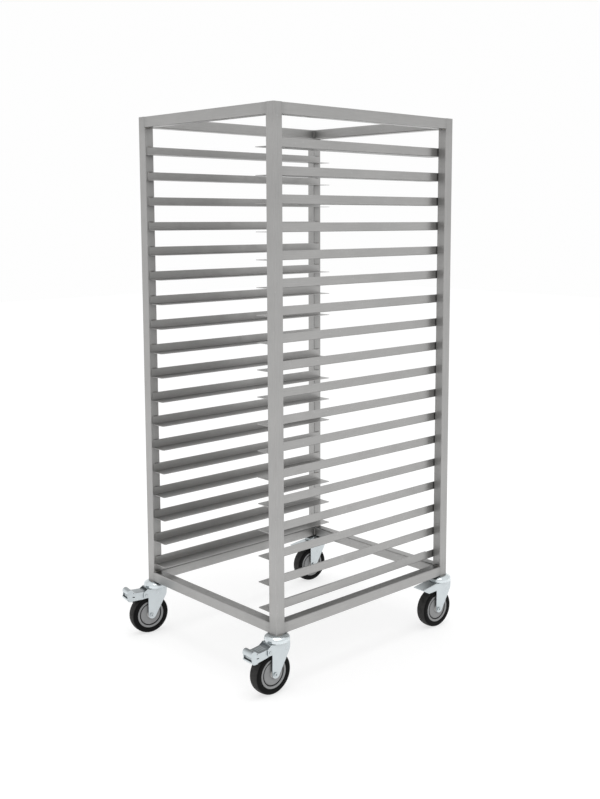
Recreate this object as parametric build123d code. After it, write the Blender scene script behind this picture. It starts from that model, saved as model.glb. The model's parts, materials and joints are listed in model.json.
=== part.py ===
from build123d import *
import os
from math import cos, radians, sin, tan

# A mobile sheet pan rack: a welded square-tube frame with a column of L-shaped tray slides on
# each side, standing on four 135 mm swivel casters, the front two with foot brakes.
# Frame of reference: +X is the rack's width, the open front faces -Y, +Z is up.
# The origin is on the floor, under the middle of the frame.

# ---------------------------------------------------------------- driving dimensions, mm
FRAME_WIDTH = 687.0
FRAME_DEPTH = 800.0
FRAME_HEIGHT = 1592.0
FRAME_BOTTOM = 182.0

TUBE = 35.0
TUBE_WALL = 1.5
TUBE_CORNER = 4.0
END_CAP_THICKNESS = 2.0

LEVELS = 18
LEVEL_PITCH = 82.6
LOWEST_LEVEL = 244.0
SLIDE_SHEET = 1.5
SLIDE_LEG = 28.0
SLIDE_FLANGE = 60.0
SLIDE_BEND = 3.0
SLIDE_END_INSET = 8.0
FLANGE_CORNER = 5.0

WHEEL_DIAMETER = 135.0
TYRE_WIDTH = 40.0
TYRE_SEAT_RADIUS = 48.0
TYRE_SHOULDER = 11.0
TREAD_INSET = 7.0
TREAD_CROWN = 1.2
RIM_EDGE_HALF = 17.0
KEY_HALF = 11.5
KEY_DEPTH = 2.0
KEY_TAPER = 1.5
RIM_FACE_HALF = 17.6
DISC_HALF = 16.4
GROOVE_RADIUS = 38.1
GROOVE_WIDTH = 3.0
GROOVE_FLOOR_HALF = 9.5
HUB_BOSS_RADIUS = 13.0
CASTER_TRAIL = 28.0

KINGPIN_RADIUS = 6.0
KINGPIN_HEAD_FLATS = 19.0
KINGPIN_HEAD_HEIGHT = 7.5
SOCKET_HEIGHT = 32.0
FIXED_FIT = 0.08

CUP_RADIUS = 40.4
CUP_SHOULDER_RADIUS = 33.0
CUP_TOP_RADIUS = 23.0
CUP_WALL = 2.5
CUP_TOP_FALL = 3.4
CUP_SHOULDER_DROP = 11.5
CUP_HUB_DROP = 3.5
CUP_GAP = 1.2

CROWN_DROP = 20.0
CROWN_PLATE = 3.0
CROWN_DISC_RADIUS = 35.0
CROWN_HOLE_RADIUS = 9.0

UPPER_BALL = 3.5
UPPER_BALL_RING = 30.0
UPPER_BALL_LIFT = 2.9
UPPER_BALL_COUNT = 24
UPPER_RACE_RISE = 2.9
LOWER_BALL = 2.5
LOWER_BALL_RING = 14.5
LOWER_BALL_DROP = 2.05
LOWER_BALL_COUNT = 14
BALL_CLEARANCE = 0.05
LOWER_CUP_RADIUS = 20.0
LOWER_CUP_DEPTH = 11.0
LOWER_CUP_LIP = 2.0

FORK_SHEET = 3.0
FORK_INNER_HALF = 22.5
FORK_BEND = 4.0
FOOT_RADIUS = 14.0
FOOT_LEAD = 3.5
LEG_FRONT = 31.0
LEG_SLANT = 30.0
KNEE_RISE = 52.0
SHOULDER_DROP = 17.0
NOSE_END = -104.0
NOSE_END_TOP = 152.0
NOSE_HEEL = (-76.0, 134.0)
NOSE_ROOT_Z = 136.5
EAR_END = -55.5
EAR_TOP = 150.0
EAR_BOTTOM = 131.0
EAR_CHAMFER = 4.0

AXLE_RADIUS = 4.0
SLEEVE_RADIUS = 6.0
BUSH_RADIUS = 9.0
BUSH_FLANGE_RADIUS = 12.5
BUSH_FLANGE = 1.5
RUNNING_FIT = 0.05
HUB_HALF = 20.5

PEDAL_PIN_Y = -45.5
PEDAL_PIN_Z = 141.0
PEDAL_PIN_RADIUS = 3.0
PEDAL_SHEET = 2.5
PEDAL_HALF = 21.5
PEDAL_TRAVEL = 10.0
PEDAL_CURL_Y = -105.5
PEDAL_CURL_Z = 148.0
PEDAL_CURL_RADIUS = 9.75
PAD_ROOT = (-42.0, 152.6)
PAD_BEND = (-81.0, 147.6)
LIP_TIP = (-113.6, 129.2)
LIP_LOW = (-104.7, 119.0)
LIP_ROOT_Y = -92.0
RISER_Y = -107.8
RISER_FOOT_Z = 120.5
WEB_SLOT = (-91.0, 134.5)
WEB_SLOT_LENGTH = 9.0
WEB_SLOT_WIDTH = 3.0
PAD_RIDGES = 4
PAD_RIDGE_STEP = 7.0
PAD_RIDGE_RADIUS = 1.6
SHOE_HALF = 14.0
SHOE_LENGTH = 20.0
SHOE_GAP_WHEN_BRAKED = 0.6
SPRING_WIRE_RADIUS = 0.8
SPRING_RADIUS = 4.4
SPRING_TURNS = 8
SPRING_LEG = 13.0
SPRING_PAD_TILT = 11.0
SPRING_FORK_TILT = 30.0

# How far each foot brake is lifted from its pressed position at rest, in degrees.
PEDAL_LIFT = {
    "front_left": PEDAL_TRAVEL,
    "front_right": 0.0,
}

# At rest each caster has settled a few degrees away from straight back.
REST_SWIVEL = {
    "front_left": -10.0,
    "front_right": -2.0,
    "back_left": -6.0,
    "back_right": -4.0,
}

# ---------------------------------------------------------------- values worked out from them
HALF_WIDTH = FRAME_WIDTH / 2
HALF_DEPTH = FRAME_DEPTH / 2
POST_X = HALF_WIDTH - TUBE / 2
POST_Y = HALF_DEPTH - TUBE / 2
INNER_X = HALF_WIDTH - TUBE
INNER_Y = HALF_DEPTH - TUBE
OVERALL_HEIGHT = FRAME_BOTTOM + FRAME_HEIGHT
WHEEL_RADIUS = WHEEL_DIAMETER / 2
AXLE_Y = -CASTER_TRAIL
AXLE_Z = WHEEL_RADIUS
FOOT_Y = AXLE_Y + FOOT_LEAD
LEG_BACK = FOOT_Y - FOOT_RADIUS
CROWN_TOP = FRAME_BOTTOM - CROWN_DROP
CROWN_UNDERSIDE = CROWN_TOP - CROWN_PLATE
CUP_RIM_BOTTOM = CROWN_TOP + CUP_GAP
UPPER_BALL_Z = CROWN_TOP + UPPER_BALL_LIFT
LOWER_BALL_Z = CROWN_UNDERSIDE - LOWER_BALL_DROP
KINGPIN_HEAD_BOTTOM = CROWN_TOP - LOWER_CUP_DEPTH - KINGPIN_HEAD_HEIGHT
FORK_OUTER_HALF = FORK_INNER_HALF + FORK_SHEET

CORNERS = {
    "front_left": (-1, -1),
    "front_right": (1, -1),
    "back_left": (-1, 1),
    "back_right": (1, 1),
}
BRAKED_CORNERS = tuple(PEDAL_LIFT)


def write(name, shape):
    """Writes one node, a single solid or a group of separate solids."""
    export_step(shape, f"parts/{name}.step")


def group(solids):
    return Compound(children=list(solids))


def corner_place(corner):
    side_x, side_y = CORNERS[corner]
    return Pos(side_x * POST_X, side_y * POST_Y, 0)


def caster_place(corner):
    """Where the swivelling half of a caster stands at rest."""
    return corner_place(corner) * Rot(0, 0, REST_SWIVEL[corner])


def ring(inner, outer, low, high):
    """A washer-shaped solid about the Z axis."""
    shape = Pos(0, 0, low) * extrude(Circle(outer), amount=high - low)
    return shape - Pos(0, 0, low) * extrude(Circle(inner), amount=high - low)


def along_x(shape, centre_x=0.0, centre_y=0.0, centre_z=0.0):
    """Turns a shape made about the Z axis so that its axis lies along X."""
    return Pos(centre_x, centre_y, centre_z) * Rot(0, 90, 0) * shape


def side_plate(outline_face, half_width):
    """Extrudes a face drawn in the YZ plane to both sides of the plane X = 0."""
    return extrude(outline_face, amount=half_width, both=True)


# ---------------------------------------------------------------- frame tubes
def square_tube(length):
    outer = RectangleRounded(TUBE, TUBE, TUBE_CORNER)
    inner_size = TUBE - 2 * TUBE_WALL
    inner = RectangleRounded(inner_size, inner_size, TUBE_CORNER - TUBE_WALL)
    return extrude(outer - inner, amount=length)


def upright(corner):
    return corner_place(corner) * Pos(0, 0, FRAME_BOTTOM) * square_tube(OVERALL_HEIGHT - FRAME_BOTTOM)


def rail(side, centre_z):
    """One horizontal tube, cut square at both ends and fitted between two uprights."""
    if side in ("front", "back"):
        length = 2 * INNER_X
        place = Pos(-length / 2, -POST_Y if side == "front" else POST_Y, centre_z) * Rot(0, 90, 0)
    else:
        length = 2 * INNER_Y
        place = Pos(-POST_X if side == "left" else POST_X, length / 2, centre_z) * Rot(90, 0, 0)
    return place * square_tube(length)


def upright_end_cap(corner):
    """A flat cap set flush inside the top of an upright."""
    inner_size = TUBE - 2 * TUBE_WALL
    plate = extrude(
        RectangleRounded(inner_size, inner_size, TUBE_CORNER - TUBE_WALL), amount=END_CAP_THICKNESS
    )
    return corner_place(corner) * Pos(0, 0, OVERALL_HEIGHT - END_CAP_THICKNESS) * plate


# ---------------------------------------------------------------- tray slides
def slide_section():
    """The folded sheet across a left-hand slide: leg up, flange inwards."""
    outer_bend = SLIDE_BEND
    inner_bend = SLIDE_BEND - SLIDE_SHEET
    with BuildSketch(Plane.XZ) as section:
        with BuildLine():
            Line((0, SLIDE_LEG), (0, outer_bend))
            RadiusArc((0, outer_bend), (outer_bend, 0), -outer_bend)
            Line((outer_bend, 0), (SLIDE_FLANGE, 0))
            Line((SLIDE_FLANGE, 0), (SLIDE_FLANGE, SLIDE_SHEET))
            Line((SLIDE_FLANGE, SLIDE_SHEET), (outer_bend, SLIDE_SHEET))
            RadiusArc((outer_bend, SLIDE_SHEET), (SLIDE_SHEET, outer_bend), inner_bend)
            Line((SLIDE_SHEET, outer_bend), (SLIDE_SHEET, SLIDE_LEG))
            Line((SLIDE_SHEET, SLIDE_LEG), (0, SLIDE_LEG))
        make_face()
    return section.sketch


def flange_corner_cutter(length):
    """What is trimmed off the front end: the flange's sharp corner."""
    corner_x = SLIDE_FLANGE - FLANGE_CORNER
    corner_y = -length / 2 + FLANGE_CORNER
    block = Pos(SLIDE_FLANGE, -length / 2, 0) * Box(2 * FLANGE_CORNER, 2 * FLANGE_CORNER, 4 * SLIDE_SHEET)
    keep = Pos(corner_x, corner_y, 0) * Cylinder(FLANGE_CORNER, 4 * SLIDE_SHEET)
    return block - keep


def left_slide():
    """A left-hand slide with its leg's outer face on X = 0 and its flange's underside on Z = 0."""
    length = FRAME_DEPTH - 2 * SLIDE_END_INSET
    bar = extrude(slide_section(), amount=length / 2, both=True)
    front_cut = flange_corner_cutter(length)
    back_cut = front_cut.mirror(Plane.XZ)
    return bar - front_cut - back_cut


def slide_column(side):
    slide = left_slide()
    if side == "right":
        slide = slide.mirror(Plane.YZ)
    wall_x = -INNER_X if side == "left" else INNER_X
    return [Pos(wall_x, 0, LOWEST_LEVEL + level * LEVEL_PITCH) * slide for level in range(LEVELS)]


# ---------------------------------------------------------------- caster, fixed half
def caster_socket():
    """The plug welded in the foot of an upright, tapped for the kingpin bolt."""
    size = TUBE - 2 * TUBE_WALL
    plug = extrude(RectangleRounded(size, size, TUBE_CORNER - TUBE_WALL), amount=SOCKET_HEIGHT)
    bore = extrude(Circle(KINGPIN_RADIUS + FIXED_FIT), amount=SOCKET_HEIGHT)
    return Pos(0, 0, FRAME_BOTTOM) * (plug - bore)


def kingpin_bolt():
    head = Pos(0, 0, KINGPIN_HEAD_BOTTOM) * extrude(
        RegularPolygon(KINGPIN_HEAD_FLATS / 2, 6, major_radius=False), amount=KINGPIN_HEAD_HEIGHT
    )
    shank_bottom = KINGPIN_HEAD_BOTTOM + KINGPIN_HEAD_HEIGHT
    shank_top = FRAME_BOTTOM + SOCKET_HEIGHT - 4
    shank = Pos(0, 0, shank_bottom) * extrude(Circle(KINGPIN_RADIUS), amount=shank_top - shank_bottom)
    bolt = head + shank
    tip_edge = bolt.edges().filter_by(GeomType.CIRCLE).sort_by(Axis.Z)[-1]
    return chamfer(tip_edge, 1.2)


def ball_groove(ring_radius, ball_radius, height):
    return Pos(0, 0, height) * Torus(ring_radius, ball_radius + BALL_CLEARANCE)


def upper_swivel_cup():
    """The domed cup under the tube, fixed to the frame; its inside carries the upper balls."""
    bore = KINGPIN_RADIUS + FIXED_FIT
    race_z = UPPER_BALL_Z + UPPER_RACE_RISE
    race_inner = UPPER_BALL_RING - UPPER_BALL - CUP_WALL
    shoulder_z = FRAME_BOTTOM - CUP_SHOULDER_DROP
    hub_bottom = FRAME_BOTTOM - CUP_HUB_DROP
    inner = CUP_RADIUS - CUP_WALL
    with BuildSketch(Plane.XZ) as section:
        with BuildLine():
            Line((bore, FRAME_BOTTOM), (CUP_TOP_RADIUS, FRAME_BOTTOM))
            Spline(
                (CUP_TOP_RADIUS, FRAME_BOTTOM),
                (CUP_SHOULDER_RADIUS, FRAME_BOTTOM - CUP_TOP_FALL),
                (CUP_RADIUS, shoulder_z),
                tangents=((1, 0), (0.1, -1)),
            )
            Polyline(
                (CUP_RADIUS, shoulder_z),
                (CUP_RADIUS, CUP_RIM_BOTTOM),
                (inner, CUP_RIM_BOTTOM),
                (inner, race_z),
                (race_inner, race_z),
                (race_inner - CUP_WALL, hub_bottom),
                (bore, hub_bottom),
                (bore, FRAME_BOTTOM),
            )
        make_face()
    cup = revolve(section.sketch, Axis.Z)
    return cup - ball_groove(UPPER_BALL_RING, UPPER_BALL, UPPER_BALL_Z)


def lower_swivel_cup():
    """The dished washer under the fork's crown, held up by the kingpin's head."""
    race_z = LOWER_BALL_Z - LOWER_BALL_DROP
    lip_top = LOWER_BALL_Z + 0.5
    bottom = CROWN_TOP - LOWER_CUP_DEPTH
    cup = ring(KINGPIN_RADIUS + FIXED_FIT, LOWER_CUP_RADIUS, bottom, race_z)
    cup = cup + ring(LOWER_CUP_RADIUS - LOWER_CUP_LIP, LOWER_CUP_RADIUS, race_z, lip_top)
    return cup - ball_groove(LOWER_BALL_RING, LOWER_BALL, LOWER_BALL_Z)


# ---------------------------------------------------------------- caster, swivelling half
def leg_outline():
    """The fork's side view, in Y and Z, without its nose: a tapering leg with a rounded foot."""
    slant = radians(LEG_SLANT)
    tangent_y = FOOT_Y + FOOT_RADIUS * cos(slant)
    tangent_z = AXLE_Z - FOOT_RADIUS * sin(slant)
    knee_z = AXLE_Z + KNEE_RISE
    knee_y = tangent_y + (knee_z - tangent_z) * tan(slant)
    shoulder_z = CROWN_TOP - SHOULDER_DROP
    down_slant = (-sin(slant), -cos(slant))
    with BuildSketch(Plane.YZ) as outline:
        with BuildLine():
            Polyline(
                (LEG_BACK, AXLE_Z), (LEG_BACK, CROWN_TOP), (LEG_FRONT, CROWN_TOP), (LEG_FRONT, shoulder_z)
            )
            Spline((LEG_FRONT, shoulder_z), (knee_y, knee_z), tangents=((0, -1), down_slant))
            Line((knee_y, knee_z), (tangent_y, tangent_z))
            ThreePointArc((tangent_y, tangent_z), (FOOT_Y, AXLE_Z - FOOT_RADIUS), (LEG_BACK, AXLE_Z))
        make_face()
    return outline.sketch


def nose_top(braked):
    """The upper edge of what trails behind the crown: two short ears, or the long nose."""
    if braked:
        return [(LEG_BACK, CROWN_TOP), (EAR_END, EAR_TOP)]
    return [(LEG_BACK, CROWN_TOP), (NOSE_END, NOSE_END_TOP)]


def nose_outline(braked):
    """The trailing part of the fork's side view: ears for the pedal's pin, or cheeks of the nose."""
    if braked:
        lower = [
            (EAR_END, EAR_BOTTOM + EAR_CHAMFER),
            (EAR_END + EAR_CHAMFER, EAR_BOTTOM),
            (LEG_BACK, EAR_BOTTOM),
        ]
    else:
        lower = [(NOSE_END, NOSE_END_TOP - CROWN_PLATE), NOSE_HEEL, (LEG_BACK, NOSE_ROOT_Z)]
    with BuildSketch(Plane.YZ) as outline:
        with BuildLine():
            Polyline(
                (LEG_FRONT - 1, CROWN_TOP), *nose_top(braked), *lower, (0, NOSE_ROOT_Z), close=True
            )
        make_face()
    return outline.sketch


def fork_hollow(braked):
    """The space between the legs, under the crown plate and the nose."""
    under_top = [(y, z - CROWN_PLATE) for y, z in nose_top(braked)]
    beyond = NOSE_END - 20
    with BuildSketch(Plane.YZ) as hollow:
        with BuildLine():
            Polyline(
                (LEG_FRONT + 10, 0),
                (LEG_FRONT + 10, CROWN_UNDERSIDE),
                *under_top,
                (beyond, NOSE_HEEL[1]),
                (beyond, 0),
                close=True,
            )
        make_face()
    return side_plate(hollow.sketch, FORK_INNER_HALF)


def fork(braked):
    """The stamped fork: crown with a ball race, two legs, and a nose or pin ears behind."""
    body = side_plate(leg_outline() + nose_outline(braked), FORK_OUTER_HALF) - fork_hollow(braked)
    bend_edges = body.edges().filter_by(
        lambda edge: abs(abs(edge.center().X) - FORK_OUTER_HALF) < 0.01
        and edge.center().Z > NOSE_END_TOP
        and edge.length > 10
        and abs(edge.tangent_at(0.5).Z) < 0.7
    )
    body = fillet(bend_edges, FORK_BEND)
    if braked:
        window_length = LEG_BACK - EAR_END + 20
        window = Pos(0, LEG_BACK - window_length / 2, CROWN_TOP) * Box(
            2 * FORK_INNER_HALF, window_length, 60
        )
        body = body - window
        body = body - along_x(Cylinder(PEDAL_PIN_RADIUS, 80), 0, PEDAL_PIN_Y, PEDAL_PIN_Z)
    body = body + ring(CROWN_HOLE_RADIUS, CROWN_DISC_RADIUS, CROWN_UNDERSIDE, CROWN_TOP)
    body = body - Pos(0, 0, CROWN_TOP) * Cylinder(CROWN_HOLE_RADIUS, 4 * CROWN_PLATE)
    body = body - ball_groove(UPPER_BALL_RING, UPPER_BALL, UPPER_BALL_Z)
    body = body - ball_groove(LOWER_BALL_RING, LOWER_BALL, LOWER_BALL_Z)
    return body - along_x(Cylinder(AXLE_RADIUS, 80), 0, AXLE_Y, AXLE_Z)


def swivel_balls():
    """Both rings of bearing balls, above and below the fork's crown."""
    balls = []
    for radius, ring_radius, height, count in (
        (UPPER_BALL, UPPER_BALL_RING, UPPER_BALL_Z, UPPER_BALL_COUNT),
        (LOWER_BALL, LOWER_BALL_RING, LOWER_BALL_Z, LOWER_BALL_COUNT),
    ):
        for index in range(count):
            turn = radians(360.0 * index / count)
            balls.append(Pos(ring_radius * cos(turn), ring_radius * sin(turn), height) * Sphere(radius))
    return balls


def axle_bolt():
    """An M8 bolt through the fork; its round head is on the +X side."""
    head = along_x(Cylinder(6.5, 4.5), FORK_OUTER_HALF + 2.25, AXLE_Y, AXLE_Z)
    head = fillet(head.edges().sort_by(Axis.X)[-1], 1.5)
    shank_end = -FORK_OUTER_HALF - 9
    shank_length = FORK_OUTER_HALF - shank_end
    shank = along_x(
        Cylinder(AXLE_RADIUS, shank_length), (FORK_OUTER_HALF + shank_end) / 2, AXLE_Y, AXLE_Z
    )
    socket = along_x(
        extrude(RegularPolygon(2.5, 6, major_radius=False), amount=3), FORK_OUTER_HALF + 2.5, AXLE_Y, AXLE_Z
    )
    return head + shank - socket


def axle_nut():
    nut = extrude(RegularPolygon(6.5, 6, major_radius=False), amount=6.5)
    nut = nut - extrude(Circle(AXLE_RADIUS + RUNNING_FIT), amount=6.5)
    return along_x(nut, -FORK_OUTER_HALF - 6.5, AXLE_Y, AXLE_Z)


def axle_sleeve():
    """The steel tube clamped between the legs, on which the wheel turns."""
    tube = ring(AXLE_RADIUS + RUNNING_FIT, SLEEVE_RADIUS, -FORK_INNER_HALF, FORK_INNER_HALF)
    return along_x(tube, 0, AXLE_Y, AXLE_Z)


# ---------------------------------------------------------------- wheel
def wheel_ring(points):
    """Revolves a half section given as (radius, offset along the axle) about the axle."""
    face = make_face(Polyline(*[(radius, 0, offset) for radius, offset in points], close=True))
    return along_x(revolve(face, Axis.Z), 0, AXLE_Y, AXLE_Z)


def wheel_rim():
    """The moulded wheel centre: hub, raised disc, a groove and the rim under the tyre."""
    bush_seat = HUB_HALF - BUSH_FLANGE - 1.0
    groove_inner = GROOVE_RADIUS - GROOVE_WIDTH / 2
    groove_outer = GROOVE_RADIUS + GROOVE_WIDTH / 2
    side = [
        (BUSH_RADIUS, bush_seat),
        (HUB_BOSS_RADIUS, bush_seat),
        (HUB_BOSS_RADIUS + 2, DISC_HALF + 0.8),
        (groove_inner - 1.6, DISC_HALF),
        (groove_inner - 0.4, DISC_HALF - 1),
        (groove_inner, GROOVE_FLOOR_HALF),
        (groove_outer, GROOVE_FLOOR_HALF),
        (groove_outer + 0.4, RIM_FACE_HALF - 1),
        (groove_outer + 1.4, RIM_FACE_HALF),
        (TYRE_SEAT_RADIUS - 1, RIM_EDGE_HALF + 1),
        (TYRE_SEAT_RADIUS, RIM_EDGE_HALF),
        (TYRE_SEAT_RADIUS, KEY_HALF),
        (TYRE_SEAT_RADIUS - KEY_DEPTH, KEY_HALF - KEY_TAPER),
    ]
    other = [(radius, -offset) for radius, offset in reversed(side)]
    return wheel_ring(side + other)


def tyre():
    """A solid rubber tyre with rounded shoulders, keyed into the rim."""
    half = TYRE_WIDTH / 2
    wall_radius = WHEEL_RADIUS - TYRE_SHOULDER
    tread_half = half - TREAD_INSET
    tread_edge = WHEEL_RADIUS - TREAD_CROWN
    key_radius = TYRE_SEAT_RADIUS - KEY_DEPTH
    seat = [
        (key_radius, -KEY_HALF + KEY_TAPER),
        (TYRE_SEAT_RADIUS, -KEY_HALF),
        (TYRE_SEAT_RADIUS, -RIM_EDGE_HALF),
        (TYRE_SEAT_RADIUS + 1.5, -half + 0.6),
        (wall_radius, -half),
    ]
    with BuildSketch(Plane.XZ) as section:
        with BuildLine():
            Polyline(*seat)
            Spline((wall_radius, -half), (tread_edge, -tread_half), tangents=((1, 0), (0.16, 1)))
            ThreePointArc((tread_edge, -tread_half), (WHEEL_RADIUS, 0), (tread_edge, tread_half))
            Spline((tread_edge, tread_half), (wall_radius, half), tangents=((-0.16, 1), (-1, 0)))
            Polyline(*[(radius, -offset) for radius, offset in reversed(seat)])
            Line((key_radius, KEY_HALF - KEY_TAPER), (key_radius, -KEY_HALF + KEY_TAPER))
        make_face()
    return along_x(revolve(section.sketch, Axis.Z), 0, AXLE_Y, AXLE_Z)


def wheel_bushes():
    """The two flanged bushes pressed into the hub, one from each side."""
    inner = SLEEVE_RADIUS + RUNNING_FIT
    flange_face = HUB_HALF - BUSH_FLANGE - 1.0
    bush = ring(inner, BUSH_RADIUS, 2.0, flange_face)
    bush = bush + ring(inner, BUSH_FLANGE_RADIUS, flange_face, flange_face + BUSH_FLANGE)
    right = along_x(bush, 0, AXLE_Y, AXLE_Z)
    return [right, right.mirror(Plane.YZ)]


# ---------------------------------------------------------------- foot brake, drawn pressed down
def pad_outline():
    """The pedal's long sheet from the side: a flat foot pad that dips, then curls over outwards."""
    half_sheet = PEDAL_SHEET / 2
    outer = PEDAL_CURL_RADIUS + half_sheet
    inner = PEDAL_CURL_RADIUS - half_sheet
    end_turn = radians(80)
    side_turn = radians(40)

    def on_curl(radius, below):
        """A point on the curl's outward side, turned down from the level of its centre."""
        return (PEDAL_CURL_Y - radius * cos(below), PEDAL_CURL_Z - radius * sin(below))

    def on_inward_side(radius):
        """A point on the curl's side towards the pad, a little below the level of its centre."""
        return (PEDAL_CURL_Y + radius * cos(side_turn), PEDAL_CURL_Z + radius * sin(side_turn))

    with BuildSketch(Plane.YZ) as outline:
        with BuildLine():
            Line((PAD_ROOT[0], PAD_ROOT[1] + half_sheet), (PAD_BEND[0], PAD_BEND[1] + half_sheet))
            Spline(
                (PAD_BEND[0], PAD_BEND[1] + half_sheet),
                on_inward_side(outer),
                tangents=((-1, -0.13), (-sin(side_turn), cos(side_turn))),
            )
            ThreePointArc(
                on_inward_side(outer), (PEDAL_CURL_Y, PEDAL_CURL_Z + outer), on_curl(outer, 0)
            )
            ThreePointArc(on_curl(outer, 0), on_curl(outer, side_turn), on_curl(outer, end_turn))
            Line(on_curl(outer, end_turn), on_curl(inner, end_turn))
            ThreePointArc(on_curl(inner, end_turn), on_curl(inner, side_turn), on_curl(inner, 0))
            ThreePointArc(
                on_curl(inner, 0), (PEDAL_CURL_Y, PEDAL_CURL_Z + inner), on_inward_side(inner)
            )
            Spline(
                on_inward_side(inner),
                (PAD_BEND[0], PAD_BEND[1] - half_sheet),
                tangents=((sin(side_turn), -cos(side_turn)), (1, 0.13)),
            )
            Line((PAD_BEND[0], PAD_BEND[1] - half_sheet), (PAD_ROOT[0], PAD_ROOT[1] - half_sheet))
            Line((PAD_ROOT[0], PAD_ROOT[1] - half_sheet), (PAD_ROOT[0], PAD_ROOT[1] + half_sheet))
        make_face()
    return outline.sketch


def release_lip_outline():
    """The turned-up lip under the curl, which a toe lifts to release the brake."""
    half_sheet = PEDAL_SHEET / 2
    inner_tip = (LIP_TIP[0] + half_sheet, LIP_TIP[1])
    outer_tip = (LIP_TIP[0] - half_sheet, LIP_TIP[1])
    inner_root = (LIP_ROOT_Y, LIP_LOW[1] + half_sheet)
    outer_root = (LIP_ROOT_Y, LIP_LOW[1] - half_sheet)
    inner_low = (LIP_LOW[0], LIP_LOW[1] + half_sheet)
    outer_low = (LIP_LOW[0], LIP_LOW[1] - half_sheet)
    with BuildSketch(Plane.YZ) as outline:
        with BuildLine():
            Spline(inner_root, inner_low, inner_tip, tangents=((-1, 0), (-0.15, 1)))
            Line(inner_tip, outer_tip)
            Spline(outer_tip, outer_low, outer_root, tangents=((0.15, -1), (1, 0)))
            Line(outer_root, inner_root)
        make_face()
    return outline.sketch


def riser_outline():
    """The short upright step of sheet that joins the end of the curl to the lip."""
    top = PEDAL_CURL_Z - PEDAL_CURL_RADIUS
    with BuildSketch(Plane.YZ) as outline:
        with Locations((RISER_Y, (top + RISER_FOOT_Z) / 2)):
            Rectangle(PEDAL_SHEET, top - RISER_FOOT_Z)
    return outline.sketch


def web_outline():
    """A side web of the pedal, from its pin to the lip, closing the end of the curl."""
    front_foot = (LIP_LOW[0] + 1, LIP_LOW[1] - PEDAL_SHEET / 4)
    with BuildSketch(Plane.YZ) as outline:
        with BuildLine():
            Polyline(
                (PAD_ROOT[0] + 2, PAD_ROOT[1] - 0.8),
                (PAD_ROOT[0] + 2, EAR_BOTTOM),
                (EAR_END, EAR_BOTTOM - 5),
                front_foot,
                (LIP_TIP[0] + 1.1, LIP_TIP[1] - 2.2),
                (PEDAL_CURL_Y - 8.5, PEDAL_CURL_Z - 5),
                (PAD_BEND[0] - 15, PAD_BEND[1] - 1),
                PAD_BEND,
                PAD_ROOT,
                close=True,
            )
        make_face()
        with Locations((PEDAL_CURL_Y, PEDAL_CURL_Z)):
            Circle(PEDAL_CURL_RADIUS + PEDAL_SHEET / 2)
        with Locations(WEB_SLOT):
            SlotOverall(WEB_SLOT_LENGTH, WEB_SLOT_WIDTH, mode=Mode.SUBTRACT)
    return outline.sketch


def pad_height(y):
    """The height of the middle of the foot pad's sheet at a distance y along it."""
    slope = (PAD_ROOT[1] - PAD_BEND[1]) / (PAD_ROOT[0] - PAD_BEND[0])
    return PAD_BEND[1] + slope * (y - PAD_BEND[0])


def pad_ridges():
    """Low ridges across the foot pad that keep a shoe from slipping."""
    ridges = []
    for index in range(PAD_RIDGES):
        ridge_y = PAD_BEND[0] + 4 + index * PAD_RIDGE_STEP
        ridge_z = pad_height(ridge_y) + PEDAL_SHEET / 2 - PAD_RIDGE_RADIUS / 3
        ridges.append(along_x(Cylinder(PAD_RIDGE_RADIUS, 2 * PEDAL_HALF - 14), 0, ridge_y, ridge_z))
    return ridges


def brake_pedal():
    """The stamped lever: ridged foot pad, curl to press down, lip to release, slotted side webs."""
    body = side_plate(pad_outline(), PEDAL_HALF)
    body = body + side_plate(release_lip_outline(), PEDAL_HALF)
    body = body + side_plate(riser_outline(), PEDAL_HALF - PEDAL_SHEET / 2)
    web = web_outline()
    body = body + (side_plate(web, PEDAL_HALF) - side_plate(web, PEDAL_HALF - PEDAL_SHEET))
    for ridge in pad_ridges():
        body = body + ridge
    bore = along_x(Cylinder(PEDAL_PIN_RADIUS + RUNNING_FIT, 80), 0, PEDAL_PIN_Y, PEDAL_PIN_Z)
    return body - bore


def pedal_pin():
    """A rivet through both cheeks of the fork, with a shallow head on each side."""
    pin = Cylinder(PEDAL_PIN_RADIUS, 2 * FORK_OUTER_HALF)
    for side in (-1, 1):
        pin = pin + Pos(0, 0, side * (FORK_OUTER_HALF + 0.75)) * Cylinder(PEDAL_PIN_RADIUS + 1.8, 1.5)
    return along_x(pin, 0, PEDAL_PIN_Y, PEDAL_PIN_Z)


def brake_shoe(pedal):
    """The block under the pedal whose hollow face comes down on the tyre."""
    outer_y = PAD_BEND[0] - 1
    inner_y = outer_y + SHOE_LENGTH
    inside_tyre = AXLE_Z + WHEEL_RADIUS / 2
    with BuildSketch(Plane.YZ) as outline:
        with BuildLine():
            Polyline(
                (inner_y, pad_height(inner_y)),
                (inner_y, inside_tyre),
                (outer_y, inside_tyre),
                (outer_y, pad_height(outer_y)),
                close=True,
            )
        make_face()
    block = side_plate(outline.sketch, SHOE_HALF)
    tyre_space = along_x(Cylinder(WHEEL_RADIUS + SHOE_GAP_WHEN_BRAKED, 80), 0, AXLE_Y, AXLE_Z)
    shoe = block - tyre_space - pedal
    return shoe.solids().sort_by(SortBy.VOLUME)[-1]


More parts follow.
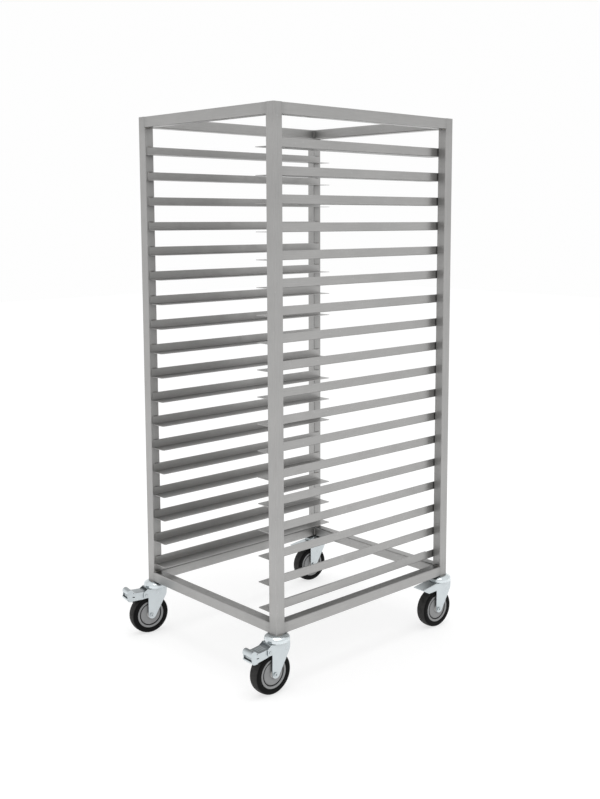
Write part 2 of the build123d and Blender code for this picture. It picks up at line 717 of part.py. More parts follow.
def pedal_spring(lift):
    """The torsion spring around the pedal's pin, one leg under the pad and one inside the fork."""
    pad_tilt = SPRING_PAD_TILT - lift
    turns = SPRING_TURNS - (pad_tilt + SPRING_FORK_TILT) / 360
    pitch = 2 * SPRING_WIRE_RADIUS * 1.15
    coil = Helix(pitch=pitch, height=pitch * turns, radius=SPRING_RADIUS)
    pad_leg = Line((coil @ 0) - (coil % 0) * SPRING_LEG, coil @ 0)
    fork_leg = Line(coil @ 1, (coil @ 1) + (coil % 1) * SPRING_LEG)
    path = Wire([pad_leg, coil, fork_leg])
    wire = sweep(Plane(origin=path @ 0, z_dir=path % 0) * Circle(SPRING_WIRE_RADIUS), path=path)
    centred = Pos(0, 0, -pitch * turns / 2) * wire
    return Pos(0, PEDAL_PIN_Y, PEDAL_PIN_Z) * Rot(0, -90, 0) * Rot(0, 0, pad_tilt) * centred


# ---------------------------------------------------------------- build and write every node
def write_frame():
    for corner in CORNERS:
        write(f"upright_{corner}", upright(corner))
    for side in ("front", "back", "left", "right"):
        write(f"top_rail_{side}", rail(side, OVERALL_HEIGHT - TUBE / 2))
        write(f"bottom_rail_{side}", rail(side, FRAME_BOTTOM + TUBE / 2))
    write("left_tray_slides", group(slide_column("left")))
    write("right_tray_slides", group(slide_column("right")))
    write("upright_end_caps", group(upright_end_cap(corner) for corner in CORNERS))
    for name, piece in (
        ("caster_sockets", caster_socket()),
        ("kingpin_bolts", kingpin_bolt()),
        ("upper_swivel_cups", upper_swivel_cup()),
        ("lower_swivel_cups", lower_swivel_cup()),
    ):
        write(name, group(corner_place(corner) * piece for corner in CORNERS))


def write_casters():
    rim = wheel_rim()
    rubber = tyre()
    bushes = wheel_bushes()
    balls = swivel_balls()
    single_pieces = (
        ("axle_bolt", axle_bolt()),
        ("axle_nut", axle_nut()),
        ("axle_sleeve", axle_sleeve()),
        ("wheel_rim", rim),
        ("tyre", rubber - rim),
    )
    forks = {braked: fork(braked) for braked in (True, False)}
    for corner in CORNERS:
        place = caster_place(corner)
        write(f"fork_{corner}", place * forks[corner in BRAKED_CORNERS])
        write(f"swivel_balls_{corner}", group(place * ball for ball in balls))
        write(f"wheel_bushes_{corner}", group(place * bush for bush in bushes))
        for name, piece in single_pieces:
            write(f"{name}_{corner}", place * piece)


def write_brakes():
    pedal = brake_pedal()
    shoe = brake_shoe(pedal)
    about_pin = Axis((0, PEDAL_PIN_Y, PEDAL_PIN_Z), (1, 0, 0))
    for corner in BRAKED_CORNERS:
        lift = PEDAL_LIFT[corner]
        pieces = (
            ("brake_pedal", pedal.rotate(about_pin, -lift)),
            ("brake_shoe", shoe.rotate(about_pin, -lift)),
            ("pedal_pin", pedal_pin()),
            ("pedal_spring", pedal_spring(lift)),
        )
        for name, piece in pieces:
            write(f"{name}_{corner}", caster_place(corner) * piece)


def main():
    os.makedirs("parts", exist_ok=True)
    write_frame()
    write_casters()
    write_brakes()


if __name__ == "__main__":
    main()
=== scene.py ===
import json
import math
import random

import bmesh
import bpy
from mathutils import Matrix, Vector

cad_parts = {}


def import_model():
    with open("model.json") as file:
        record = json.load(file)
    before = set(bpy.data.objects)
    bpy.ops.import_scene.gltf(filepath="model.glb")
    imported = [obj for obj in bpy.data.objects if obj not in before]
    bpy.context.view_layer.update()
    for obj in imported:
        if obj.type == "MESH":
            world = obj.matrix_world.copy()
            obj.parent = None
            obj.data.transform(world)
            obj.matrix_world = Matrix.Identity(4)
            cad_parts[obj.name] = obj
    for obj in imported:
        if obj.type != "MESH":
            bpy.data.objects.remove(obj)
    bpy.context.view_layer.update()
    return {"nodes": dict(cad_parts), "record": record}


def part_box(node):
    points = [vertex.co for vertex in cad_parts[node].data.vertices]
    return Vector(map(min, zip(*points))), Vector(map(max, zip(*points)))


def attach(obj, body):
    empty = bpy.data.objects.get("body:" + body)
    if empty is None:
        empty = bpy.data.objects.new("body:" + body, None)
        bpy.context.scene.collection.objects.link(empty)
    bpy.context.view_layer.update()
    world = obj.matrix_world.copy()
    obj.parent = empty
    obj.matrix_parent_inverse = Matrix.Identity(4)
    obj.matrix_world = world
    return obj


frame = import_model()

# ---------------------------------------------------------------- sizes, metres, read from the frame
NODES = frame["nodes"]
MM = 0.001
CORNERS = {
    "front_left": (-1, -1),
    "front_right": (1, -1),
    "back_left": (-1, 1),
    "back_right": (1, 1),
}
POST_LOW, POST_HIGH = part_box("upright_front_right")
TUBE = POST_HIGH.x - POST_LOW.x
HALF_WIDTH = POST_HIGH.x
HALF_DEPTH = -POST_LOW.y
FRAME_BOTTOM = POST_LOW.z
FRAME_TOP = POST_HIGH.z
INNER_X = HALF_WIDTH - TUBE
INNER_Y = HALF_DEPTH - TUBE
POST_X = HALF_WIDTH - TUBE / 2
POST_Y = HALF_DEPTH - TUBE / 2
SLIDES_LOW, SLIDES_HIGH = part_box("left_tray_slides")
LEVEL_HEIGHTS = sorted(
    mount["pos_m"][2] for mount in frame["record"]["mounts"] if mount["name"].startswith("tray_level")
)
JOINTS = {joint["name"]: joint for joint in frame["record"]["behaviour"]["joints"]}
SLIDE_SHEET = 1.5 * MM
TUBE_CORNER = 4 * MM
SLIDE_LEG = SLIDES_HIGH.z - LEVEL_HEIGHTS[-1] + SLIDE_SHEET


# ---------------------------------------------------------------- node helpers


class Shader:
    """A small helper round a material's node tree."""

    def __init__(self, name):
        self.material = bpy.data.materials.new(name)
        self.material.use_nodes = True
        self.tree = self.material.node_tree
        self.principled = self.tree.nodes["Principled BSDF"]
        coordinates = self.tree.nodes.new("ShaderNodeTexCoord")
        self.position = coordinates.outputs["Object"]
        self.normal = coordinates.outputs["Normal"]

    def link(self, source, target):
        """Feeds an input from another node's output, or gives it a plain value."""
        if isinstance(source, (int, float, tuple, list)):
            target.default_value = source
        else:
            self.tree.links.new(source, target)

    def node(self, kind, **settings):
        made = self.tree.nodes.new(kind)
        for key, value in settings.items():
            setattr(made, key, value)
        return made

    def stretched(self, scale, offset=(0.0, 0.0, 0.0)):
        """The position, scaled along each axis and shifted; a small scale makes long streaks."""
        mapping = self.node("ShaderNodeMapping")
        self.link(self.position, mapping.inputs["Vector"])
        mapping.inputs["Scale"].default_value = scale
        mapping.inputs["Location"].default_value = offset
        return mapping.outputs["Vector"]

    def noise(self, vector, scale, detail=3.0, roughness=0.55):
        made = self.node("ShaderNodeTexNoise")
        self.link(vector, made.inputs["Vector"])
        made.inputs["Scale"].default_value = scale
        made.inputs["Detail"].default_value = detail
        made.inputs["Roughness"].default_value = roughness
        return made.outputs["Fac"]

    def remap(self, value, low, high, to_low, to_high, smooth=False):
        """Carries the range low..high onto to_low..to_high and holds the ends."""
        made = self.node("ShaderNodeMapRange", clamp=True)
        made.interpolation_type = "SMOOTHSTEP" if smooth else "LINEAR"
        self.link(value, made.inputs["Value"])
        ends = {"From Min": low, "From Max": high, "To Min": to_low, "To Max": to_high}
        for key, number in ends.items():
            made.inputs[key].default_value = number
        return made.outputs["Result"]

    def math(self, operation, first, second=0.0):
        made = self.node("ShaderNodeMath", operation=operation)
        self.link(first, made.inputs[0])
        self.link(second, made.inputs[1])
        return made.outputs[0]

    def mix(self, factor, first, second, blend="MIX"):
        made = self.node("ShaderNodeMix", data_type="RGBA", blend_type=blend)
        self.link(factor, made.inputs["Factor"])
        self.link(first, made.inputs[6])
        self.link(second, made.inputs[7])
        return made.outputs[2]

    def mix_values(self, factor, first, second):
        made = self.node("ShaderNodeMix", data_type="FLOAT")
        self.link(factor, made.inputs["Factor"])
        self.link(first, made.inputs[2])
        self.link(second, made.inputs[3])
        return made.outputs[0]

    def component(self, vector, name):
        made = self.node("ShaderNodeSeparateXYZ")
        self.link(vector, made.inputs[0])
        return made.outputs[name]

    def axis(self, name):
        """Where a point is along X, Y or Z, in metres."""
        return self.component(self.position, name)

    def upward(self):
        """1 on surfaces that face up, 0 on walls and undersides."""
        return self.remap(self.component(self.normal, "Z"), 0.5, 0.9, 0.0, 1.0)

    def downward(self):
        """1 on surfaces that face down, 0 on walls and tops."""
        return self.remap(self.component(self.normal, "Z"), -0.8, -0.2, 1.0, 0.0)

    def closeness(self, distance):
        """1 in the open, falling towards 0 where other surfaces stand close by."""
        made = self.node("ShaderNodeAmbientOcclusion", samples=6)
        made.inputs["Distance"].default_value = distance
        return made.outputs["AO"]

    def bump(self, height, strength, distance, before=None):
        made = self.node("ShaderNodeBump")
        made.inputs["Strength"].default_value = strength
        made.inputs["Distance"].default_value = distance
        self.link(height, made.inputs["Height"])
        if before is not None:
            self.link(before, made.inputs["Normal"])
        return made.outputs["Normal"]

    def tinted(self, value, red, blue):
        """A colour from one brightness, with factors on its red and its blue."""
        made = self.node("ShaderNodeCombineColor")
        self.link(self.math("MULTIPLY", value, red), made.inputs[0])
        self.link(value, made.inputs[1])
        self.link(self.math("MULTIPLY", value, blue), made.inputs[2])
        return made.outputs[0]

    def set(self, name, value):
        self.link(value, self.principled.inputs[name])


def grey(value, warm=0.0):
    """A near-neutral colour; warm is positive towards red, negative towards blue."""
    return (value * (1 + warm), value, value * (1 - warm), 1.0)


# ---------------------------------------------------------------- materials
def weld_zone(shader):
    """1 near the frame's eight welded corners, fading to 0 along the tubes."""
    edges = []
    for name, half in (("X", HALF_WIDTH), ("Y", HALF_DEPTH)):
        inner_end = half - 1.5 * TUBE
        distance = shader.math("ABSOLUTE", shader.axis(name))
        edges.append(shader.remap(distance, inner_end - 5 * MM, inner_end + 8 * MM, 0.0, 1.0, True))
    height = shader.axis("Z")
    near, far = 1.1 * TUBE, 1.9 * TUBE
    top = shader.remap(height, FRAME_TOP - far, FRAME_TOP - near, 0.0, 1.0, True)
    bottom = shader.remap(height, FRAME_BOTTOM + near, FRAME_BOTTOM + far, 1.0, 0.0, True)
    both = shader.math("MAXIMUM", top, bottom)
    return shader.math("MULTIPLY", both, shader.math("MULTIPLY", edges[0], edges[1]))


def seam_tint(shader):
    """1 on the line where a rail meets an upright, fading within a few millimetres."""
    lines = []
    for name, half in (("X", INNER_X), ("Y", INNER_Y)):
        from_middle = shader.math("ABSOLUTE", shader.axis(name))
        from_line = shader.math("ABSOLUTE", shader.math("SUBTRACT", from_middle, half))
        lines.append(shader.remap(from_line, 2 * MM, 9 * MM, 1.0, 0.0, True))
    return shader.math("MULTIPLY", shader.math("MAXIMUM", lines[0], lines[1]), weld_zone(shader))


def brushed_steel(name, grain, tone, roughness=0.36, welded=False, shade=0.5, underside_shade=1.0):
    """Stainless steel with a satin grain along one axis, faint clouds, handling marks and scratches.

    shade is how much painted shade darkens enclosed places, and the last argument is the factor of painted
    shade on surfaces that face down.
    """
    shader = Shader(name)
    along = "XYZ".index(grain)
    fine_scale = [1.0, 1.0, 1.0]
    fine_scale[along] = 0.012
    streak_scale = [1.0, 1.0, 1.0]
    streak_scale[along] = 0.04
    fine = shader.noise(shader.stretched(fine_scale), 2400, 2.0, 0.7)
    streaks = shader.noise(shader.stretched(streak_scale, (0.3, 0.1, 0.7)), 380, 4.0, 0.6)
    clouds = shader.noise(shader.position, 5.0, 3.0, 0.6)
    smudges = shader.noise(shader.stretched((1, 1, 1), (2.1, 0.4, 1.3)), 21.0, 5.0, 0.65)
    scratches = shader.noise(shader.stretched((1, 1, 1), (5.0, 1.0, 3.0)), 160.0, 1.0, 0.3)
    scratch_line = shader.remap(scratches, 0.70, 0.76, 0.0, 1.0)

    value = shader.math("MULTIPLY", shader.remap(clouds, 0.3, 0.7, 0.95, 1.05), tone)
    value = shader.math("MULTIPLY", value, shader.remap(streaks, 0.3, 0.7, 0.95, 1.04))
    value = shader.math("MULTIPLY", value, shader.remap(fine, 0.25, 0.75, 0.94, 1.05))
    # painted shade: the base colour darkens where other surfaces stand close by, by up to shade
    painted_enclosed_shade = shader.remap(shader.closeness(70 * MM), 0.25, 0.95, 1.0 - shade, 1.0)
    value = shader.math("MULTIPLY", value, painted_enclosed_shade)
    # painted shade: surfaces that face down are darkened by the underside factor
    if underside_shade < 1.0:
        value = shader.math("MULTIPLY", value, shader.remap(shader.downward(), 0.0, 1.0, 1.0, underside_shade))
    rough = shader.math("ADD", shader.remap(fine, 0.3, 0.7, -0.05, 0.05), roughness)
    rough = shader.math("ADD", rough, shader.remap(smudges, 0.5, 0.72, 0.0, 0.10, True))
    if welded:
        zone = weld_zone(shader)
        ground = shader.remap(shader.noise(shader.position, 240.0, 3.0, 0.6), 0.3, 0.7, 0.93, 1.0)
        value = shader.mix_values(zone, value, shader.math("MULTIPLY", value, ground))
        tint = shader.math("MULTIPLY", seam_tint(shader), 0.05)
        value = shader.math("MULTIPLY", value, shader.math("SUBTRACT", 1.0, tint))
        rough = shader.math("ADD", rough, shader.math("MULTIPLY", zone, 0.07))
    colour = shader.tinted(value, 1.008, 0.985)
    shader.set("Base Color", shader.mix(shader.math("MULTIPLY", scratch_line, 0.2), colour, grey(0.6)))
    shader.set("Metallic", 1.0)
    shader.set("Roughness", rough)
    shader.set("Anisotropic", 0.55)
    shader.set("Anisotropic Rotation", 0.25)
    tangent = shader.node("ShaderNodeCombineXYZ")
    for index in range(3):
        tangent.inputs[index].default_value = 1.0 if index == along else 0.02
    shader.set("Tangent", tangent.outputs[0])
    normal = shader.bump(fine, 0.05, 0.05 * MM)
    normal = shader.bump(streaks, 0.04, 0.2 * MM, normal)
    shader.set("Normal", normal)
    return shader.material


def zinc(name, tone=0.69, roughness=0.30, shade=0.45, reach=0.025, top=1.0):
    """Blue-white zinc plate on pressed steel: faint crystals, soft dents and handling marks.

    shade and reach say how much, and from how far, painted shade darkens enclosed places; top is the factor
    of painted shade on surfaces that face up.
    """
    shader = Shader(name)
    crystals = shader.node("ShaderNodeTexVoronoi", feature="F1")
    shader.link(shader.position, crystals.inputs["Vector"])
    crystals.inputs["Scale"].default_value = 420.0
    patches = shader.noise(shader.position, 30.0, 4.0, 0.6)
    dents = shader.noise(shader.position, 48.0, 2.0, 0.5)
    grit = shader.noise(shader.position, 1500.0, 2.0, 0.6)
    value = shader.remap(crystals.outputs["Distance"], 0.0, 0.7, 0.98, 1.02)
    value = shader.math("MULTIPLY", value, shader.remap(patches, 0.3, 0.7, 0.96, 1.04))
    value = shader.math("MULTIPLY", value, tone)
    # painted shade: the base colour darkens where other surfaces stand within reach, by up to shade
    painted_enclosed_shade = shader.remap(shader.closeness(reach), 0.15, 0.9, 1.0 - shade, 1.0)
    value = shader.math("MULTIPLY", value, painted_enclosed_shade)
    # painted reflection: surfaces that face up are darkened by top, for the dark rails above that they
    # mirror
    if top < 1.0:
        value = shader.math("MULTIPLY", value, shader.remap(shader.upward(), 0.0, 1.0, 1.0, top))
    rough = shader.math("ADD", shader.remap(patches, 0.35, 0.7, -0.03, 0.06), roughness)
    shader.set("Base Color", shader.tinted(value, 0.93, 1.03))
    shader.set("Metallic", 0.9)
    shader.set("Roughness", rough)
    normal = shader.bump(dents, 0.10, 0.5 * MM)
    normal = shader.bump(grit, 0.08, 0.04 * MM, normal)
    shader.set("Normal", normal)
    return shader.material


def distance_from_axle(shader, joint):
    """How far a point is from the wheel's turning axis."""
    offset = shader.node("ShaderNodeVectorMath", operation="SUBTRACT")
    shader.link(shader.position, offset.inputs[0])
    offset.inputs[1].default_value = joint["pos_m"]
    crossed = shader.node("ShaderNodeVectorMath", operation="CROSS_PRODUCT")
    shader.link(offset.outputs[0], crossed.inputs[0])
    crossed.inputs[1].default_value = joint["axis"]
    length = shader.node("ShaderNodeVectorMath", operation="LENGTH")
    shader.link(crossed.outputs[0], length.inputs[0])
    return length.outputs["Value"]


def rubber(name, joint, wheel_radius):
    """Matt black rubber; the tread is scuffed to a dusty grey, the sidewall stays dark."""
    shader = Shader(name)
    radius = distance_from_axle(shader, joint)
    tread = shader.remap(radius, wheel_radius - 4 * MM, wheel_radius - 1.5 * MM, 0.0, 1.0, True)
    dust = shader.noise(shader.position, 60.0, 5.0, 0.65)
    grain = shader.noise(shader.position, 1400.0, 3.0, 0.6)
    worn = shader.math("MULTIPLY", tread, shader.remap(dust, 0.3, 0.7, 0.45, 1.0))
    dark = shader.mix(shader.remap(dust, 0.4, 0.75, 0.0, 0.4), grey(0.0035), grey(0.008, 0.02))
    shader.set("Base Color", shader.mix(worn, dark, grey(0.045, 0.02)))
    shader.set("Roughness", shader.remap(shader.math("ADD", worn, grain), 0.3, 1.5, 0.45, 0.75))
    shader.set("Specular IOR Level", 0.09)
    shader.set("Normal", shader.bump(grain, 0.25, 0.12 * MM))
    return shader.material


def plastic(name, tone, warm=0.0, roughness=0.45, shade=0.0):
    """Moulded plastic: a fine spark-eroded grain, slight clouding, scuffs and, when shade is given, painted
    shade in hollows.
    """
    shader = Shader(name)
    clouds = shader.noise(shader.position, 45.0, 3.0, 0.6)
    grain = shader.noise(shader.position, 2200.0, 2.0, 0.6)
    scuffs = shader.remap(shader.noise(shader.position, 130.0, 5.0, 0.7), 0.60, 0.72, 0.0, 1.0)
    dark, light = grey(tone * 0.92, warm), grey(tone * 1.06, warm)
    base = shader.mix(shader.remap(clouds, 0.3, 0.7, 0.0, 1.0), dark, light)
    base = shader.mix(shader.math("MULTIPLY", scuffs, 0.2), base, grey(min(1.0, tone * 1.5), warm))
    # painted shade: the base colour blackens in narrow hollows, by up to shade
    if shade:
        painted_hollow_shade = shader.remap(shader.closeness(0.012), 0.3, 0.9, shade, 0.0)
        base = shader.mix(painted_hollow_shade, base, grey(0.01))
    shader.set("Base Color", base)
    shader.set("Roughness", shader.remap(clouds, 0.3, 0.7, roughness - 0.06, roughness + 0.08))
    shader.set("Specular IOR Level", 0.3)
    shader.set("Normal", shader.bump(grain, 0.18, 0.08 * MM))
    return shader.material


def weld_metal(name):
    """A weld bead: bright ripples with straw and blue heat tint."""
    shader = Shader(name)
    tint = shader.noise(shader.position, 150.0, 3.0, 0.6)
    grit = shader.noise(shader.position, 900.0, 3.0, 0.6)
    warm = (0.36, 0.33, 0.29, 1.0)
    cool = (0.25, 0.26, 0.28, 1.0)
    shader.set("Base Color", shader.mix(shader.remap(tint, 0.35, 0.65, 0.0, 1.0), warm, cool))
    shader.set("Metallic", 1.0)
    shader.set("Roughness", shader.remap(grit, 0.3, 0.7, 0.35, 0.55))
    shader.set("Normal", shader.bump(grit, 0.35, 0.15 * MM))
    return shader.material


def paint(node, material):
    """Gives a CAD node one material in every slot."""
    mesh = NODES[node].data
    if not mesh.materials:
        mesh.materials.append(material)
    for index in range(len(mesh.materials)):
        mesh.materials[index] = material


# painted shade: every steel below darkens its base colour in enclosed places
UPRIGHT_STEEL = brushed_steel("upright_steel", "Z", 0.40, 0.34, welded=True)
CROSS_RAIL_STEEL = brushed_steel("cross_rail_steel", "X", 0.39, 0.36, welded=True)
SIDE_RAIL_STEEL = brushed_steel("side_rail_steel", "Y", 0.40, 0.36, welded=True)
# painted shade on the slides' undersides and, lightly, in their enclosed places
SLIDE_STEEL = brushed_steel("slide_steel", "Y", 0.40, 0.33, shade=0.15, underside_shade=0.58)
CAP_STEEL = brushed_steel("cap_steel", "X", 0.40, 0.40, welded=True)
# painted shade: the zinc parts darken in the caster's narrow gaps
ZINC = zinc("zinc_plate", 0.65, 0.30, 0.55, 0.014)
# painted shade: a strong, far-reaching darkening of the cup's base colour near the tube and rails
BRIGHT_ZINC = zinc("bright_zinc_cup", 0.78, 0.15, 0.85, 0.045)
# painted reflection: the pedal's up-facing pad is darkened for the dark rails it mirrors
PEDAL_ZINC = zinc("pedal_zinc", 0.64, 0.30, 0.5, 0.010, 0.60)
HARDWARE = zinc("hardware_zinc", 0.58, 0.25)
BALL_STEEL = zinc("ball_steel", 0.70, 0.08)
# painted shade: the rim blackens in its narrow hollows
RIM_PLASTIC = plastic("rim_grey_plastic", 0.27, -0.01, 0.42, 0.75)
BUSH_PLASTIC = plastic("bush_plastic", 0.62, 0.02, 0.5)
SHOE_RUBBER = plastic("shoe_rubber", 0.02, 0.0, 0.6)
WELD = weld_metal("weld_metal")


def paint_cad_nodes():
    for corner in CORNERS:
        paint(f"upright_{corner}", UPRIGHT_STEEL)
        paint(f"fork_{corner}", ZINC)
        paint(f"swivel_balls_{corner}", BALL_STEEL)
        paint(f"axle_bolt_{corner}", HARDWARE)
        paint(f"axle_nut_{corner}", HARDWARE)
        paint(f"axle_sleeve_{corner}", HARDWARE)
        paint(f"wheel_rim_{corner}", RIM_PLASTIC)
        paint(f"wheel_bushes_{corner}", BUSH_PLASTIC)
        axle = JOINTS[f"roll_{corner}"]
        paint(f"tyre_{corner}", rubber(f"tyre_rubber_{corner}", axle, axle["pos_m"][2]))
    for level in ("top", "bottom"):
        for side in ("front", "back"):
            paint(f"{level}_rail_{side}", CROSS_RAIL_STEEL)
        for side in ("left", "right"):
            paint(f"{level}_rail_{side}", SIDE_RAIL_STEEL)
    for side in ("left", "right"):
        paint(f"{side}_tray_slides", SLIDE_STEEL)
    paint("upright_end_caps", CAP_STEEL)
    paint("caster_sockets", HARDWARE)
    paint("kingpin_bolts", HARDWARE)
    paint("upper_swivel_cups", BRIGHT_ZINC)
    paint("lower_swivel_cups", ZINC)
    for corner in ("front_left", "front_right"):
        paint(f"brake_pedal_{corner}", PEDAL_ZINC)
        paint(f"pedal_pin_{corner}", HARDWARE)
        paint(f"pedal_spring_{corner}", HARDWARE)
        paint(f"brake_shoe_{corner}", SHOE_RUBBER)


# ---------------------------------------------------------------- weld beads
def close_tube(mesh, rings):
    """Joins rings of vertices into a closed skin with flat ends."""
    count = len(rings[0])
    for first, second in zip(rings, rings[1:]):
        for index in range(count):
            following = (index + 1) % count
            mesh.faces.new((first[index], first[following], second[following], second[index]))
    mesh.faces.new(list(reversed(rings[0])))
    mesh.faces.new(rings[-1])


def bead(mesh, start, end, radius, wave_seed):
    """Adds a rippled weld bead, a closed lumpy rod from start to end, to a bmesh."""
    rng = random.Random(wave_seed)
    start, end = Vector(start), Vector(end)
    along = (end - start).normalized()
    length = (end - start).length
    side = along.orthogonal().normalized()
    other = along.cross(side)
    ripple = 2.2 * MM
    steps = max(6, int(length / (ripple / 3)))
    segments = 10
    phase = rng.uniform(0, 2 * math.pi)
    rings = []
    for step in range(steps + 1):
        share = step / steps
        taper = math.sqrt(max(0.0, 1 - (2 * share - 1) ** 8))
        swell = 1 + 0.10 * math.sin(phase + share * length / ripple * 2 * math.pi) + rng.uniform(-0.03, 0.03)
        size = max(radius * 0.15, radius * taper * swell)
        centre = start + along * (length * share)
        rings.append([
            mesh.verts.new(centre + (side * math.cos(a) + other * math.sin(a)) * size)
            for a in (2 * math.pi * index / segments for index in range(segments))
        ])
    close_tube(mesh, rings)


def finish_piece(name, mesh, material):
    """Turns a bmesh into a smooth piece that rides on the frame."""
    data = bpy.data.meshes.new(name)
    bmesh.ops.recalc_face_normals(mesh, faces=mesh.faces)
    mesh.to_mesh(data)
    mesh.free()
    for polygon in data.polygons:
        polygon.use_smooth = True
    data.materials.append(material)
    piece = bpy.data.objects.new(name, data)
    bpy.context.scene.collection.objects.link(piece)
    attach(piece, "frame")
    return piece


def frame_welds():
    """Beads in the inside corners where the rails meet the uprights."""
    mesh = bmesh.new()
    radius = 2.2 * MM
    sink = 0.9 * MM
    trim = 4 * MM
    proud = 0.6 * MM
    seed = 0
    for side_x, side_y in CORNERS.values():
        x, y = side_x * (INNER_X - sink), side_y * (INNER_Y - sink)
        corner_x, corner_y = side_x * (INNER_X + proud), side_y * (INNER_Y + proud)
        for low, inner_z in (
            (FRAME_BOTTOM, FRAME_BOTTOM + TUBE + 0.3 * sink),
            (FRAME_TOP - TUBE, FRAME_TOP - TUBE - 0.3 * sink),
        ):
            seed += 1
            # across each rail's inner face, on the face of the upright
            bead(
                mesh,
                (x, side_y * (INNER_Y + trim), inner_z),
                (x, side_y * (HALF_DEPTH - trim), inner_z),
                radius, seed,
            )
            bead(
                mesh,
                (side_x * (INNER_X + trim), y, inner_z),
                (side_x * (HALF_WIDTH - trim), y, inner_z),
                radius, seed + 100,
            )
            # up the corner between the two rails
            bead(
                mesh,
                (corner_x, corner_y, low + trim),
                (corner_x, corner_y, low + TUBE - trim),
                radius, seed + 200,
            )
    return finish_piece("frame_weld_beads", mesh, WELD)


def slide_welds(side):
    """Short beads above and below each slide's two ends, on the inner faces of the uprights."""
    mesh = bmesh.new()
    sign = -1 if side == "left" else 1
    first_seed = 500 if side == "left" else 900
    radius = 1.7 * MM
    bead_start, bead_end = 3 * MM, 21 * MM
    upper_x = sign * (INNER_X - 0.9 * MM)
    lower_x = sign * (INNER_X - 0.4 * MM)
    for level, flange_top in enumerate(LEVEL_HEIGHTS):
        underside = flange_top - SLIDE_SHEET
        upper_z = underside + SLIDE_LEG
        lower_z = underside + 0.4 * MM
        for end_index, (end, inward) in enumerate(((SLIDES_LOW.y, 1), (SLIDES_HIGH.y, -1))):
            near_y = end + inward * bead_start
            far_y = end + inward * bead_end
            seed = first_seed + level * 10 + end_index
            bead(mesh, (upper_x, near_y, upper_z), (upper_x, far_y, upper_z), radius, seed)
            bead(mesh, (lower_x, near_y, lower_z), (lower_x, far_y, lower_z), radius, seed + 5)
    return finish_piece(f"slide_weld_beads_{side}", mesh, WELD)


def cup_welds():
    """A bead round the foot of each upright, where the swivel cup is fixed to it."""
    mesh = bmesh.new()
    half = TUBE / 2
    radius = 1.6 * MM
    reach = half - 5 * MM
    for index, (side_x, side_y) in enumerate(CORNERS.values()):
        centre = Vector((side_x * POST_X, side_y * POST_Y, FRAME_BOTTOM + 0.4 * MM))
        for turn in range(4):
            angle = turn * math.pi / 2
            out = Vector((math.cos(angle), math.sin(angle), 0)) * (half + 0.2 * MM)
            along = Vector((-math.sin(angle), math.cos(angle), 0)) * reach
            bead(mesh, centre + out - along, centre + out + along, radius, 2000 + index * 4 + turn)
    return finish_piece("foot_weld_beads", mesh, WELD)


def seam_filler(mesh, side_x, side_y, low, outer_rail):
    """Adds the dressed weld that fills the groove between an upright's rounded edge and a rail.

    Its section is a square corner less the upright's quarter round, a hair proud of the tubes.
    """
    proud = 0.12 * MM
    overlap = 0.5 * MM
    arc_steps = 6
    if outer_rail == "cross":
        edge = Vector((side_x * INNER_X, side_y * HALF_DEPTH, 0))
        outward = Vector((side_x, 0, 0))
        inward = Vector((0, -side_y, 0))
    else:
        edge = Vector((side_x * HALF_WIDTH, side_y * INNER_Y, 0))
        outward = Vector((0, side_y, 0))
        inward = Vector((-side_x, 0, 0))
    centre = edge + (outward + inward) * TUBE_CORNER
    section = [edge - inward * proud - outward * overlap, edge - inward * proud + outward * TUBE_CORNER]
    for step in range(arc_steps + 1):
        turn = math.pi / 2 * step / arc_steps
        spoke = inward * math.cos(turn) + outward * math.sin(turn)
        section.append(centre - spoke * TUBE_CORNER)
    section.append(edge - outward * overlap + inward * TUBE_CORNER)
    heart = sum(section, Vector()) / len(section)
    end_gap, taper_end, tip_size = 0.3 * MM, 1.6 * MM, 0.55
    rings = []
    for height, size in (
        (end_gap, tip_size), (taper_end, 1.0), (TUBE - taper_end, 1.0), (TUBE - end_gap, tip_size),
    ):
        z = Vector((0, 0, low + height))
        rings.append([mesh.verts.new(heart + (point - heart) * size + z) for point in section])
    close_tube(mesh, rings)


def corner_fillers(outer_rail, material):
    """The dressed welds on the frame's outside, four at the bottom and four at the top."""
    mesh = bmesh.new()
    for side_x, side_y in CORNERS.values():
        for low in (FRAME_BOTTOM, FRAME_TOP - TUBE):
            seam_filler(mesh, side_x, side_y, low, outer_rail)
    piece = finish_piece(f"{outer_rail}_rail_dressed_welds", mesh, material)
    for polygon in piece.data.polygons:
        polygon.use_smooth = False
    return piece


# ---------------------------------------------------------------- stage, light and camera
def floor():
    mesh = bmesh.new()
    bmesh.ops.create_grid(mesh, x_segments=8, y_segments=8, size=14.0)
    data = bpy.data.meshes.new("floor")
    mesh.to_mesh(data)
    mesh.free()
    plane = bpy.data.objects.new("floor", data)
    bpy.context.scene.collection.objects.link(plane)
    shader = Shader("floor_white")
    speckle = shader.noise(shader.position, 3.0, 2.0, 0.5)
    shader.set("Base Color", shader.mix(speckle, grey(0.40), grey(0.41)))
    shader.set("Roughness", 0.7)
    shader.set("Specular IOR Level", 0.0)
    shader.set("Emission Color", grey(1.0))
    shader.set("Emission Strength", 0.66)
    data.materials.append(shader.material)


def area_light(name, place, target, size, power):
    data = bpy.data.lights.new(name, "AREA")
    data.shape = "RECTANGLE"
    data.size, data.size_y = size
    data.energy = power
    lamp = bpy.data.objects.new(name, data)
    bpy.context.scene.collection.objects.link(lamp)
    lamp.location = place
    lamp.rotation_mode = "QUATERNION"
    lamp.rotation_quaternion = (Vector(target) - Vector(place)).to_track_quat("-Z", "Y")


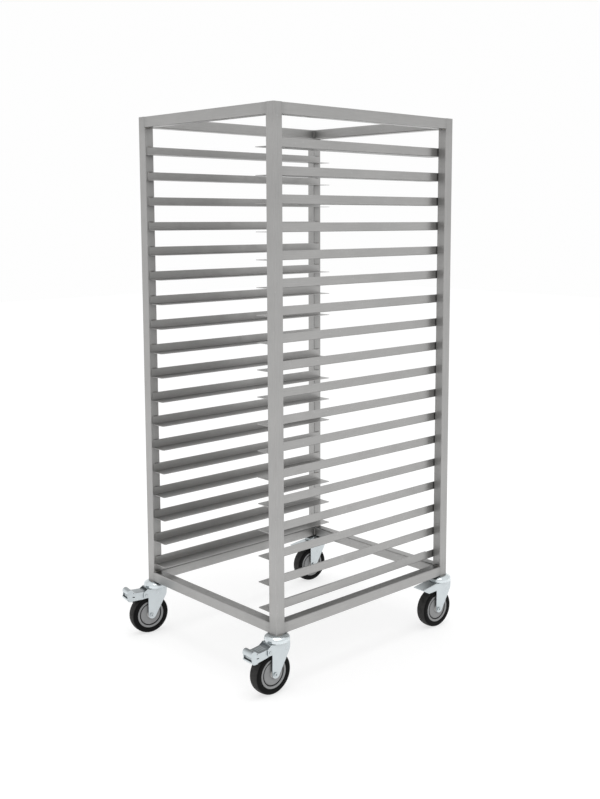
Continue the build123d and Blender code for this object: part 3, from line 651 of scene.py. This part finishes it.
def world():
    """A white room: plain white to the camera, softly graded in reflections."""
    made = bpy.data.worlds.new("studio")
    bpy.context.scene.world = made
    made.use_nodes = True
    tree = made.node_tree
    tree.nodes.clear()
    coordinates = tree.nodes.new("ShaderNodeTexCoord")
    separate = tree.nodes.new("ShaderNodeSeparateXYZ")
    tree.links.new(coordinates.outputs["Generated"], separate.inputs[0])
    grade = tree.nodes.new("ShaderNodeValToRGB")
    spread = tree.nodes.new("ShaderNodeMapRange")
    tree.links.new(separate.outputs["Z"], spread.inputs["Value"])
    spread.inputs["From Min"].default_value = -1.0
    tree.links.new(spread.outputs["Result"], grade.inputs["Fac"])
    stops = grade.color_ramp.elements
    stops[0].position, stops[0].color = 0.0, (0.8, 0.8, 0.8, 1)
    stops[1].position, stops[1].color = 1.0, (1.0, 1.0, 1.0, 1)
    for position, value in ((0.46, 0.85), (0.54, 1.0), (0.75, 0.80)):
        stop = stops.new(position)
        stop.color = (value, value, value, 1)
    soft = tree.nodes.new("ShaderNodeBackground")
    tree.links.new(grade.outputs["Color"], soft.inputs["Color"])
    soft.inputs["Strength"].default_value = 1.0
    plain = tree.nodes.new("ShaderNodeBackground")
    plain.inputs["Color"].default_value = (1, 1, 1, 1)
    plain.inputs["Strength"].default_value = 0.99
    path = tree.nodes.new("ShaderNodeLightPath")
    choose = tree.nodes.new("ShaderNodeMixShader")
    tree.links.new(path.outputs["Is Camera Ray"], choose.inputs[0])
    tree.links.new(soft.outputs[0], choose.inputs[1])
    tree.links.new(plain.outputs[0], choose.inputs[2])
    output = tree.nodes.new("ShaderNodeOutputWorld")
    tree.links.new(choose.outputs[0], output.inputs["Surface"])


def camera():
    """The photograph's viewpoint: a little above the middle, near the front right corner."""
    azimuth, elevation = math.radians(46.374), math.radians(7.028)
    distance, slide_right, slide_up = 3.5450, 0.0996, 0.0313
    back = Vector((
        math.sin(azimuth) * math.cos(elevation),
        -math.cos(azimuth) * math.cos(elevation),
        math.sin(elevation),
    ))
    right = Vector((math.cos(azimuth), math.sin(azimuth), 0))
    up = back.cross(right)
    middle = Vector((0, 0, (FRAME_BOTTOM + FRAME_TOP) / 2))
    data = bpy.data.cameras.new("camera")
    data.lens = 46.37
    data.shift_x, data.shift_y = -0.0333, -0.0687
    view = bpy.data.objects.new("camera", data)
    bpy.context.scene.collection.objects.link(view)
    turn = Matrix((right, up, back)).transposed()
    view.matrix_world = Matrix.Translation(
        middle + back * distance + right * slide_right + up * slide_up
    ) @ turn.to_4x4()
    bpy.context.scene.camera = view


paint_cad_nodes()
frame_welds()
slide_welds("left")
slide_welds("right")
cup_welds()
corner_fillers("cross", CROSS_RAIL_STEEL)
corner_fillers("side", SIDE_RAIL_STEEL)
floor()
world()
area_light("overhead_softbox", (0.3, -0.2, 4.2), (0, 0, 1.0), (2.4, 2.4), 45)
camera()
bpy.context.scene.view_settings.view_transform = "Standard"
